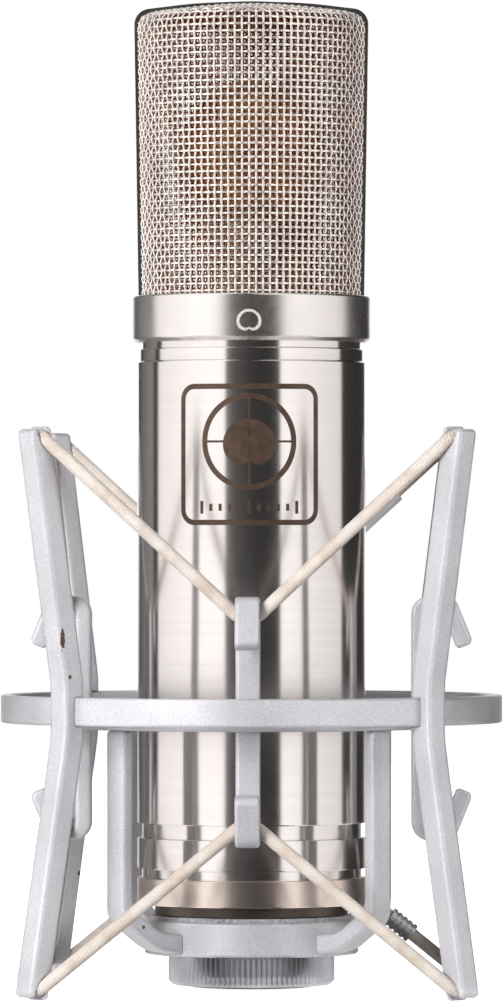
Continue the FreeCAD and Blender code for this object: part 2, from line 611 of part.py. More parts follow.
def capsule_leads():
    """One wire from each terminal, bent down to the deck."""
    leads = []
    for way in (-1, 1):
        far = way * (TERMINAL_FAR + LEAD_STANDOFF)
        terminal, corner = Vector(0, way * TERMINAL_FAR, CAPSULE_Z), Vector(0, far, CAPSULE_Z)
        foot = Vector(0, far, DECK_TOP)
        start, end, arc = corner_arc(terminal, corner, foot, LEAD_BEND)
        runs = Part.LineSegment(terminal, start).toShape(), Part.LineSegment(end, foot).toShape()
        leads.append(swept(Part.Wire([runs[0], arc, runs[1]]), LEAD_R))
    return Part.makeCompound(leads)


# ---- Chassis -------------------------------------------------------------------------------
def chassis_screw_places():
    middle = RAIL_X + RAIL_WIDTH / 2
    return [(side * middle, end) for side in (-1, 1) for end in (-1, 1)]


def chassis_screws():
    """Four screws through the end plates into the rails, as separate solids."""
    screws = []
    for x, end in chassis_screw_places():
        face = LOWER_PLATE_LOW if end < 0 else UPPER_PLATE_LOW + PLATE_HEIGHT
        head = sorted((face, face + end * CHASSIS_HEAD))
        shank = sorted((face, face - end * CHASSIS_SCREW_LENGTH))
        screw = cylinder(CHASSIS_HEAD_R, *head, x).fuse(cylinder(CHASSIS_SCREW_R, *shank, x))
        screws.append(screw.removeSplitter())
    return Part.makeCompound(screws)


def lower_plate():
    return cylinder(BODY_R - BAND_WALL, LOWER_PLATE_LOW, RAIL_LOW).cut(chassis_screws())


def upper_plate():
    return cylinder(TOP_BORE, UPPER_PLATE_LOW, UPPER_PLATE_LOW + PLATE_HEIGHT).cut(chassis_screws())


def rail(side):
    x = sorted((side * RAIL_X, side * (RAIL_X + RAIL_WIDTH)))
    solid = block(x, (-RAIL_DEPTH / 2, RAIL_DEPTH / 2), (RAIL_LOW, UPPER_PLATE_LOW))
    return solid.cut(chassis_screws())


def circuit_board():
    half = BOARD_WALL / 2
    return block((-RAIL_X, RAIL_X), (-half, half), (BOARD_LOW, BOARD_LOW + BOARD_HEIGHT))


def output_transformer():
    """A laminated core on the board with its coil standing proud."""
    back, low = BOARD_WALL / 2, BOARD_LOW + CORE_LIFT
    core = block((-CORE_X / 2, CORE_X / 2), (back, back + CORE_Y), (low, low + CORE_Z))
    coil = block((-COIL_X / 2, COIL_X / 2), (back + 1, back + CORE_Y + COIL_PROUD), (low + 4, low + CORE_Z - 4))
    return core.fuse(coil).removeSplitter()


def capacitors():
    """Film and foil cans lying on the board's front, as separate solids."""
    cans = []
    for x, lift, radius, length in CAPACITORS:
        low = BOARD_LOW + lift
        cans.append(cylinder(radius, low, low + length, x, -BOARD_WALL / 2 - radius))
    return Part.makeCompound(cans)


def transistor():
    low, back = BOARD_LOW + TRANSISTOR_LIFT, BOARD_WALL / 2
    body = cylinder(TRANSISTOR_R, low, low + TRANSISTOR_HEIGHT, 0, back)
    reach = 2 * TRANSISTOR_R
    return body.common(block((-reach, reach), (back, back + reach), (low, low + TRANSISTOR_HEIGHT)))


# ---- XLR outlet ----------------------------------------------------------------------------
def xlr_pins():
    """Three contact pins, as separate solids."""
    pins = []
    for angle in PIN_ANGLES:
        place = polar(PIN_CIRCLE, angle, 0)
        pin = cylinder(PIN_R, STUB_LOW + PIN_RECESS, WELL_TOP + INSERT_HEIGHT + PIN_TAIL, place.x, place.y)
        tip = min(pin.Edges, key=lambda edge: edge.BoundBox.ZMax)
        pins.append(pin.makeChamfer(PIN_R / 3, [tip]))
    return Part.makeCompound(pins)


def xlr_insert():
    insert = cylinder(WELL_R, WELL_TOP, WELL_TOP + INSERT_HEIGHT)
    return insert.cut(xlr_pins())


# ---- Stand joint ---------------------------------------------------------------------------
def pivot_rod(radius, low, high):
    """A cylinder on the pivot's axis."""
    return rod(radius, (low, PIVOT_Y, PIVOT_Z), (high, PIVOT_Y, PIVOT_Z))


def stand_lug():
    """A pad on the ring's rear face that carries the pivot's middle ear."""
    half, top = TONGUE_WIDTH / 2, RING_LOW + RING_HEIGHT
    pad = block((-LUG_PAD_X / 2, LUG_PAD_X / 2), (RING_OUT - 2, RING_OUT + LUG_PAD_DEPTH), (LUG_PAD_LOW, top))
    arm = block((-half, half), (RING_OUT, PIVOT_Y), (PIVOT_Z - EAR_R + 3, PIVOT_Z + EAR_R))
    lug = pad.fuse(arm).fuse(pivot_rod(EAR_R, -half, half)).removeSplitter()
    lug = lug.cut(cylinder(RING_OUT, RING_LOW, top + 1)).cut(cylinder(RING_OUT, 0, RING_LOW))
    return lug.cut(pivot_rod(BOLT_R + RUNNING, -half - 1, half + 1))


def cheek_span():
    near = TONGUE_WIDTH / 2 + CHEEK_GAP
    return near, near + CHEEK_WIDTH


def swivel_fork():
    """Two cheeks round the lug's ear over a threaded socket."""
    near, far = cheek_span()
    top = SOCKET_LOW + SOCKET_HEIGHT
    fork = cylinder(SOCKET_R, SOCKET_LOW, top, 0, PIVOT_Y)
    for low, high in ((-far, -near), (near, far)):
        leg = block((low, high), (PIVOT_Y - EAR_R, PIVOT_Y + EAR_R), (top - 4, PIVOT_Z))
        fork = fork.fuse(leg).fuse(pivot_rod(EAR_R, low, high))
    fork = fork.removeSplitter()
    fork = fork.cut(pivot_rod(EAR_R + 1, -near, near))
    fork = fork.cut(pivot_rod(BOLT_R, -far - 1, far + 1))
    return fork.cut(cylinder(STAND_THREAD_R, SOCKET_LOW - 1, SOCKET_LOW + STAND_THREAD_DEPTH, 0, PIVOT_Y))


def thread_adapter():
    """The slotted reducer in the stand socket."""
    low = SOCKET_LOW - ADAPTER_FLANGE
    reducer = cylinder(STAND_THREAD_R, SOCKET_LOW, SOCKET_LOW + ADAPTER_HEIGHT, 0, PIVOT_Y)
    reducer = reducer.fuse(cylinder(ADAPTER_FLANGE_R, low, SOCKET_LOW, 0, PIVOT_Y)).removeSplitter()
    return reducer.cut(cylinder(ADAPTER_BORE_R, low - 1, SOCKET_LOW + ADAPTER_HEIGHT + 1, 0, PIVOT_Y))


def knob_span():
    low = cheek_span()[1] + RUNNING + WASHER_HEIGHT + RUNNING
    return low, low + KNOB_HEIGHT


def pivot_bolt():
    far = cheek_span()[1]
    bolt = pivot_rod(BOLT_R, -far, knob_span()[0] + BOLT_REACH)
    return bolt.fuse(pivot_rod(BOLT_HEAD_R, -far - BOLT_HEAD, -far)).removeSplitter()


def clamp_washer():
    low = cheek_span()[1] + RUNNING
    washer = pivot_rod(WASHER_R, low, low + WASHER_HEIGHT)
    return washer.cut(pivot_rod(BOLT_R + RUNNING, low - 1, low + WASHER_HEIGHT + 1))


def clamp_knob():
    """A star knob with a blind bore for the bolt."""
    low, high = knob_span()
    knob = pivot_rod(KNOB_HUB_R, low, high)
    for lobe in range(KNOB_LOBES):
        angle = 2 * math.pi * lobe / KNOB_LOBES
        y, z = PIVOT_Y + LOBE_CIRCLE * math.cos(angle), PIVOT_Z + LOBE_CIRCLE * math.sin(angle)
        knob = knob.fuse(rod(LOBE_R, (low + 1.5, y, z), (high, y, z)))
    knob = knob.removeSplitter()
    return knob.cut(pivot_rod(BOLT_R + RUNNING, low - 1, low + BOLT_REACH + 0.5))


# ---- Assembly ------------------------------------------------------------------------------
def frame_nodes():
    upper, lower = upper_corners(), lower_corners()
    rooms = [bend_room(loop, 1, CORD_TIP_BEND, CORD_R + TIP_CLEARANCE) for loop in (upper, lower)]
    bar = upright(*rooms)
    nodes = {f"upright_{name}": turned(bar, angle) for name, angle in CORNERS}
    nodes.update(outer_ring=outer_ring(), upper_cord=laced(upper), lower_cord=laced(lower),
                 upper_cord_sleeve=sleeve(), lower_cord_ferrule=ferrule(), stand_lug=stand_lug(),
                 swivel_fork=swivel_fork(), pivot_bolt=pivot_bolt(), thread_adapter=thread_adapter(),
                 clamp_washer=clamp_washer(), clamp_knob=clamp_knob())
    return nodes


def basket_nodes():
    loops = upper_corners(), lower_corners()
    rooms = [bend_room(loop, 0, CORD_HOOK_BEND, CORD_R + HOOK_CLEARANCE) for loop in loops]
    side = hook(*rooms)
    support = post()
    nodes = {f"hook_{name}": turned(side, angle) for name, angle in SIDES}
    nodes.update({f"post_{name}": turned(support, angle) for name, angle in CORNERS})
    nodes.update(inner_ring=inner_ring(), seat_dish=seat_dish(), seat_felt=seat_felt(),
                 nut_clip=nut_clip(), ring_nut=ring_nut())
    return nodes


def body_nodes():
    rib = head_rib()
    return dict(threaded_base=threaded_base(), base_ring=base_ring(), band_ring=band_ring(),
                body_tube=body_tube(), top_ring=top_ring(), head_collar=head_collar(), head_rib=rib,
                grille_mesh=grille_shell(0, MESH_WALL).cut(rib),
                grille_lining=grille_shell(MESH_WALL + LINING_GAP, LINING_WALL),
                xlr_insert=xlr_insert(), xlr_pins=xlr_pins())


def inner_nodes():
    nodes = {}
    for name, way in (("front", -1), ("rear", 1)):
        nodes[f"backplate_{name}"] = backplate(way)
        nodes[f"diaphragm_{name}"] = diaphragm(way)
        nodes[f"clamp_ring_{name}"] = clamp_ring(way)
    nodes.update(capsule_screws=capsule_screws(), capsule_leads=capsule_leads(), capsule_post=capsule_post(),
                 capsule_deck=capsule_deck(), chassis_lower_plate=lower_plate(),
                 chassis_upper_plate=upper_plate(), chassis_rail_left=rail(-1), chassis_rail_right=rail(1),
                 circuit_board=circuit_board(), output_transformer=output_transformer(),
                 capacitors=capacitors(), transistor=transistor(), chassis_screws=chassis_screws())
    return nodes


def main():
    os.makedirs("parts", exist_ok=True)
    nodes = {**frame_nodes(), **basket_nodes(), **body_nodes(), **inner_nodes()}
    for name, shape in nodes.items():
        print(f"{name}: {len(shape.Solids)} solids, {shape.Volume:.1f} mm3, valid {shape.isValid()}")
        shape.exportStep(f"parts/{name}.step")


main()
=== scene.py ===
"""Looks of a side-address condenser microphone in its elastic shock mount.

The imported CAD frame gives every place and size.  Each sub-assembly is a class whose fields
are its sizes in millimetres and whose methods model its pieces and dress them; each finish
is a frozen dataclass that makes one procedural material from real sizes.
"""

from __future__ import annotations

import logging
import math
from dataclasses import dataclass, field
from enum import Enum

import bmesh
import bpy
from mathutils import Matrix, Vector


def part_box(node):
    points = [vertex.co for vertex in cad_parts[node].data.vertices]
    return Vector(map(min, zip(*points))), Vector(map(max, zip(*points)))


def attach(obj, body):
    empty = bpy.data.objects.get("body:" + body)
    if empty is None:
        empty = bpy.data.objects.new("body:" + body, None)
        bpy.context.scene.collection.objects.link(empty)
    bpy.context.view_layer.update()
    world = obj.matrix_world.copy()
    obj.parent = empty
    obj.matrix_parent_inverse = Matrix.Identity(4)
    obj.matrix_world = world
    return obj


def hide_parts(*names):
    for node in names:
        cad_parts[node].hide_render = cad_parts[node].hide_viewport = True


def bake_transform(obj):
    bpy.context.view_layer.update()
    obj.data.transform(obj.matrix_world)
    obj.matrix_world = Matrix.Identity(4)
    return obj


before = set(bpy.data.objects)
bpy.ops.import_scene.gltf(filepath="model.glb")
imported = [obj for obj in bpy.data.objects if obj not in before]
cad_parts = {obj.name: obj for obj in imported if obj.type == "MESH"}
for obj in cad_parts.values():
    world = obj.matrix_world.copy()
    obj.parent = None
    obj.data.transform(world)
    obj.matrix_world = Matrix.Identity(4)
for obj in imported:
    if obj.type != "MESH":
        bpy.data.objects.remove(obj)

MM = 0.001
LOG = logging.getLogger("microphone")
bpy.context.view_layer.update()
BMesh = bmesh.types.BMesh
Material = bpy.types.Material
Object = bpy.types.Object
Tree = bpy.types.NodeTree
Socket = bpy.types.NodeSocket
Outline = list[tuple[float, float]]


class Body(str, Enum):
    """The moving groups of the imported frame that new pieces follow."""

    FRAME = "suspension_frame"
    BASKET = "basket"
    MICROPHONE = "microphone"


class Slot(str, Enum):
    """Names of the record's material slots; no piece is given one."""

    WIRE = "mesh"
    GAUZE = "lining"
    CORD = "elastic_cord"
    NICKEL = "nickel"
    SATIN = "satin_nickel"


# ---- Helpers ----


def linear(code: str) -> tuple[float, float, float, float]:
    """Turns an sRGB hex colour into the linear values that a shader takes.

    Args:
        code: The colour, such as "#C0C4C8".

    Returns:
        Red, green, blue and an alpha of one.
    """
    values = [int(code[i:i + 2], 16) / 255 for i in (1, 3, 5)]
    return (*[v / 12.92 if v <= 0.04045 else ((v + 0.055) / 1.055) ** 2.4 for v in values], 1.0)


def shift(code: str, share: float) -> str:
    """Makes a hex colour lighter or darker by a share.

    Args:
        code: The colour.
        share: How much lighter; below zero is darker.

    Returns:
        The new hex colour.
    """
    values = [min(255, max(0, round(int(code[i:i + 2], 16) * (1 + share)))) for i in (1, 3, 5)]
    return "#" + "".join(f"{value:02X}" for value in values)


def add(tree: Tree, kind: str, inputs: dict | None = None, **settings: object) -> bpy.types.Node:
    """Adds one shader node with its settings and links.

    Args:
        tree: The node tree.
        kind: The node's type, without its ShaderNode prefix.
        inputs: By input name or number, a value or the socket that feeds it.
        **settings: The node's own properties.

    Returns:
        The new node.
    """
    made = tree.nodes.new("ShaderNode" + kind)
    for name, value in settings.items():
        setattr(made, name, value)
    for name, value in (inputs or {}).items():
        if isinstance(value, Socket):
            tree.links.new(value, made.inputs[name])
        else:
            made.inputs[name].default_value = value
    return made


def maths(tree: Tree, operation: str, *values: float | Socket) -> Socket:
    """Adds one Math node.

    Args:
        tree: The node tree.
        operation: What it does, as Blender names it.
        *values: Its inputs in order.

    Returns:
        The result.
    """
    return add(tree, "Math", dict(enumerate(values)), operation=operation).outputs[0]


def blank(name: str) -> tuple[Material, Tree]:
    """Makes a material with an empty node tree.

    Args:
        name: The material's name.

    Returns:
        The material and its tree.
    """
    material = bpy.data.materials.new(name)
    material.use_nodes = True
    material.node_tree.nodes.clear()
    return material, material.node_tree


def ramp(tree: Tree, value: Socket, stops: list[tuple[float, str]]) -> Socket:
    """Maps a value to colours.

    Args:
        tree: The node tree.
        value: The socket that drives the ramp.
        stops: Place and hex colour of each stop, in order.

    Returns:
        The colour socket.
    """
    made = add(tree, "ValToRGB", {"Fac": value})
    points = made.color_ramp.elements
    while len(points) < len(stops):
        points.new(0.5)
    for point, (place, code) in zip(points, stops):
        point.position, point.color = place, linear(code)
    return made.outputs["Color"]


def box(node: str) -> tuple[Vector, Vector]:
    """The lowest and highest corner of a CAD node at rest, in metres.

    Args:
        node: The node's name.

    Returns:
        Both corners.
    """
    low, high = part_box(node)
    return Vector(low), Vector(high)


def link(name: str, data: bpy.types.ID) -> Object:
    """Puts data into the scene as an object at the origin.

    Args:
        name: The object's name.
        data: Its mesh, curve, light or camera.

    Returns:
        The object.
    """
    made = bpy.data.objects.new(name, data)
    bpy.context.scene.collection.objects.link(made)
    return made


def from_bmesh(name: str, shape: BMesh, smooth: bool = True) -> Object:
    """Turns a finished bmesh into an object.

    Args:
        name: The object's name.
        shape: The bmesh, which is freed.
        smooth: Whether its faces shade smoothly.

    Returns:
        The object.
    """
    for face in shape.faces:
        face.smooth = smooth
    data = bpy.data.meshes.new(name)
    shape.to_mesh(data)
    shape.free()
    return link(name, data)


def wires(name: str, paths: list[list[Vector]], radius_mm: float, closed: bool, sides: int = 1,
          swell: list[float] | None = None) -> Object:
    """Makes round wires along paths, as one mesh.

    Args:
        name: The object's name.
        paths: Each wire's centre line, in metres.
        radius_mm: The wires' radius.
        closed: Whether each wire joins up with itself.
        sides: Bevel resolution: 0 is four sides, 1 is six.
        swell: The radius at each point, as a share of the wires' radius.

    Returns:
        The wires, as one object.
    """
    curve = bpy.data.curves.new(name, "CURVE")
    curve.dimensions = "3D"
    curve.bevel_depth = radius_mm * MM
    curve.bevel_resolution = sides
    curve.use_fill_caps = not closed
    for path in paths:
        spline = curve.splines.new("POLY")
        spline.points.add(len(path) - 1)
        spline.points.foreach_set("co", [value for point in path for value in (*point, 1.0)])
        if swell:
            spline.points.foreach_set("radius", swell)
        spline.use_cyclic_u = closed
        spline.use_smooth = True
    holder = link(name + "_line", curve)
    bpy.context.view_layer.update()
    seen = holder.evaluated_get(bpy.context.evaluated_depsgraph_get())
    data = bpy.data.meshes.new_from_object(seen)
    bpy.data.objects.remove(holder)
    bpy.data.curves.remove(curve)
    data.name = name
    return link(name, data)


def dress(piece: Object, material: Material) -> Object:
    """Gives a piece one material all over.

    Args:
        piece: The object.
        material: Its material.

    Returns:
        The same object.
    """
    piece.data.materials.clear()
    piece.data.materials.append(material)
    for face in piece.data.polygons:
        face.material_index = 0
    return piece


# ---- Finishes ----


@dataclass(frozen=True)
class Finish:
    """A plain finish: one colour with a slight mottle, a fine grain and uneven gloss."""

    name: str
    colour: str
    roughness: float = 0.4
    metallic: float = 0.0
    grain_mm: float = 0.5
    depth_mm: float = 0.01
    mottle: float = 0.06
    mottle_mm: float = 9.0
    uneven: float = 0.15
    edge_mm: float = 0.0

    def place(self, tree: Tree, size_mm: tuple[float, float, float]) -> Socket:
        """Object coordinates, counted in features of the given size along each axis.

        Args:
            tree: The node tree.
            size_mm: One feature's size along X, Y and Z.

        Returns:
            The coordinates.
        """
        coords = add(tree, "TexCoord").outputs["Object"]
        scale = tuple(1 / (MM * value) for value in size_mm)
        return add(tree, "VectorMath", {0: coords, 1: scale}, operation="MULTIPLY").outputs[0]

    def noise(self, tree: Tree, size_mm: float | tuple[float, float, float],
              detail: float = 2.0) -> Socket:
        """A noise with features of a real size.

        Args:
            tree: The node tree.
            size_mm: One size, or three along X, Y and Z.
            detail: Octaves of finer noise.

        Returns:
            The value, from zero to one.
        """
        size = size_mm if isinstance(size_mm, tuple) else (size_mm,) * 3
        where = self.place(tree, size)
        made = add(tree, "TexNoise", {"Vector": where, "Scale": 1.0, "Detail": detail})
        return made.outputs["Fac"]

    def spread(self, tree: Tree, value: Socket, share: float) -> Socket:
        """The base colour, darker and lighter by a share where a value is low and high."""
        return ramp(tree, value, [(0.3, shift(self.colour, -share)),
                                  (0.7, shift(self.colour, share))])

    def colour_of(self, tree: Tree) -> Socket:
        """The mottled base colour."""
        return self.spread(tree, self.noise(tree, self.mottle_mm), self.mottle)

    def height_of(self, tree: Tree) -> Socket:
        """The height that the bump follows."""
        return self.noise(tree, self.grain_mm)

    def roughness_of(self, tree: Tree) -> Socket:
        """Roughness, a little uneven over the surface.

        Args:
            tree: The node tree.

        Returns:
            The roughness.
        """
        return add(tree, "MapRange", {
            "Value": self.noise(tree, self.mottle_mm / 2),
            "To Min": self.roughness * (1 - self.uneven),
            "To Max": self.roughness * (1 + self.uneven)}).outputs["Result"]

    def extras(self, shader: bpy.types.Node, tree: Tree) -> None:
        """Sets what only some finishes have."""

    def build(self) -> Material:
        """Makes the material.

        Returns:
            The material with its nodes.
        """
        material, tree = blank(self.name)
        bump = add(tree, "Bump", {"Height": self.height_of(tree), "Distance": self.depth_mm * MM})
        if self.edge_mm:
            edge = add(tree, "Bevel", {"Radius": self.edge_mm * MM}, samples=6)
            tree.links.new(edge.outputs[0], bump.inputs["Normal"])
        shader = add(tree, "BsdfPrincipled", {
            "Base Color": self.colour_of(tree), "Roughness": self.roughness_of(tree),
            "Metallic": self.metallic, "Normal": bump.outputs["Normal"]})
        self.extras(shader, tree)
        add(tree, "OutputMaterial", {"Surface": shader.outputs[0]})
        return material


@dataclass(frozen=True)
class StovedPaint(Finish):
    """Silver stoving paint on cast alloy: a salt-and-pepper sparkle under a soft sheen.

    The flakes are drawn at 0.35 mm, coarser than real ones, so that they show.  Knocks have
    broken through to the primer in a few tiny brown spots.
    """

    flake: float = 0.06
    chip: str = "#4B352A"
    chip_mm: float = 0.55
    chip_apart_mm: float = 17.0
    ragged_mm: float = 1.2
    torn_mm: float = 0.6
    torn_least: float = 0.4
    torn_span: float = 1.2
    edge_mm: float = 0.9
    knocks: tuple[tuple[tuple[float, float, float], tuple[float, float, float]], ...] = (
        ((-41.0, -46.0, 80.0), (0.5, 6.0, 2.4)), ((-39.4, -46.0, 71.5), (0.4, 6.0, 0.5)))

    def colour_of(self, tree: Tree) -> Socket:
        """Flakes over a faint mottle, with sparse chips.

        Args:
            tree: The node tree.

        Returns:
            The colour.
        """
        flakes = self.spread(tree, self.noise(tree, self.grain_mm, 1.0), self.flake)
        wide = ramp(tree, self.noise(tree, self.mottle_mm), [(0.3, "#EFEFEF"), (0.7, "#FFFFFF")])
        coat = add(tree, "Mix", {"Factor": 1.0, 6: flakes, 7: wide},
                   data_type="RGBA", blend_type="MULTIPLY")
        worn = {"Factor": self.chips(tree), 6: coat.outputs[2], 7: linear(self.chip)}
        return add(tree, "Mix", worn, data_type="RGBA").outputs[2]

    def chips(self, tree: Tree) -> Socket:
        """One where the paint is gone: stray chips all over and the knocks at their places.

        Args:
            tree: The node tree.

        Returns:
            The value, zero or one.
        """
        cells = add(tree, "TexVoronoi", {"Vector": self.place(tree, (self.chip_apart_mm,) * 3),
                                         "Scale": 1.0})
        ragged = maths(tree, "MULTIPLY", self.noise(tree, self.ragged_mm, 3.0),
                       2 * self.chip_mm / self.chip_apart_mm)
        spot = maths(tree, "LESS_THAN", cells.outputs["Distance"], ragged)
        for middle, reach in self.knocks:
            away = add(tree, "VectorMath", {0: self.place(tree, (1.0,) * 3), 1: middle},
                       operation="SUBTRACT")
            near = add(tree, "VectorMath", {0: away.outputs[0], 1: reach}, operation="DIVIDE")
            far = add(tree, "VectorMath", {0: near.outputs[0]}, operation="LENGTH").outputs["Value"]
            torn = maths(tree, "MULTIPLY_ADD", self.noise(tree, self.torn_mm), self.torn_span,
                         self.torn_least)
            spot = maths(tree, "MAXIMUM", spot, maths(tree, "LESS_THAN", far, torn))
        return spot


@dataclass(frozen=True)
class TurnedNickel(Finish):
    """Nickel plate over lathe-turned brass: bright, with fine lines round it.

    The lines stretch each highlight along the tube while the edges of what it reflects stay
    sharp across; real 0.1 mm tool marks are drawn wider so that they show.
    """

    line_mm: float = 0.5
    tone_mm: float = 1.2
    run_mm: float = 90.0
    anisotropy: float = 0.9

    def height_of(self, tree: Tree) -> Socket:
        """Long thin lines round the axis."""
        return self.noise(tree, (self.run_mm, self.run_mm, self.line_mm))

    def colour_of(self, tree: Tree) -> Socket:
        """Faint lines of tone, as turning and wiping leave."""
        lines = self.noise(tree, (self.run_mm, self.run_mm, self.tone_mm), 3.0)
        return self.spread(tree, lines, self.mottle)

    def extras(self, shader: bpy.types.Node, tree: Tree) -> None:
        """Stretches highlights along the tube, across the turning lines.

        Args:
            shader: The surface shader.
            tree: The node tree.
        """
        shader.inputs["Anisotropic"].default_value = self.anisotropy
        shader.inputs["Anisotropic Rotation"].default_value = 0.25
        tangent = add(tree, "Tangent", direction_type="RADIAL", axis="Z")
        tree.links.new(tangent.outputs[0], shader.inputs["Tangent"])


@dataclass(frozen=True)
class Braid(Finish):
    """Cotton braid over rubber: matt cream threads that lean across the cord.

    The ribs are in the mesh; the threads are about half a millimetre wide and the hollows
    between them are darkened with painted shade.
    """

    thread_mm: float = 0.56
    length_mm: float = 500.0
    starts: float = 4.0
    fluff_mm: float = 0.35
    soil_mm: float = 6.0
    # Painted shade: how much darker the hollows between the threads are.
    valley_shade: float = 0.13

    def threads(self, tree: Tree) -> Socket:
        """Leaning threads from the cord's own map, whose U runs along it and V round it.

        Args:
            tree: The node tree.

        Returns:
            One on a thread's crown, zero in the hollow between two threads.
        """
        across = add(tree, "SeparateXYZ", {0: add(tree, "TexCoord").outputs["UV"]})
        lean = maths(tree, "MULTIPLY", across.outputs["Y"], self.starts)
        turns = maths(tree, "MULTIPLY_ADD", across.outputs["X"], self.length_mm / self.thread_mm,
                      lean)
        wave = maths(tree, "SINE", maths(tree, "MULTIPLY", turns, 2 * math.pi))
        return add(tree, "MapRange", {"Value": wave, "From Min": -1.0}).outputs["Result"]

    def height_of(self, tree: Tree) -> Socket:
        """Threads with a little fluff."""
        return maths(tree, "ADD", self.threads(tree), self.noise(tree, self.fluff_mm))

    def colour_of(self, tree: Tree) -> Socket:
        """Cream crowns and hollows browned with painted shade, soiled in patches.

        Args:
            tree: The node tree.

        Returns:
            The colour.
        """
        # Painted shade darkens the hollows between the threads.
        braid = ramp(tree, self.threads(tree), [(0.0, shift(self.colour, -self.valley_shade)),
                                                (0.5, self.colour)])
        soil = ramp(tree, self.noise(tree, self.soil_mm, 4.0), [(0.3, "#E6DCD2"), (0.6, "#FFFFFF")])
        return add(tree, "Mix", {"Factor": 1.0, 6: braid, 7: soil}, data_type="RGBA",
                   blend_type="MULTIPLY").outputs[2]

    def extras(self, shader: bpy.types.Node, tree: Tree) -> None:
        """Gives the cotton its soft edge."""
        shader.inputs["Sheen Weight"].default_value = 0.2
        shader.inputs["Sheen Roughness"].default_value = 0.5


@dataclass(frozen=True)
class Felt(Finish):
    """Pressed wool felt: matt, fibrous and full of light and dark hairs."""

    fibre_mm: tuple[float, float, float] = (0.35, 0.35, 0.7)

    def height_of(self, tree: Tree) -> Socket:
        """Matted fibres."""
        return self.noise(tree, self.fibre_mm, 6.0)

    def extras(self, shader: bpy.types.Node, tree: Tree) -> None:
        """Gives the fibres their fuzz."""
        shader.inputs["Sheen Weight"].default_value = 0.5
        shader.inputs["Sheen Roughness"].default_value = 0.6


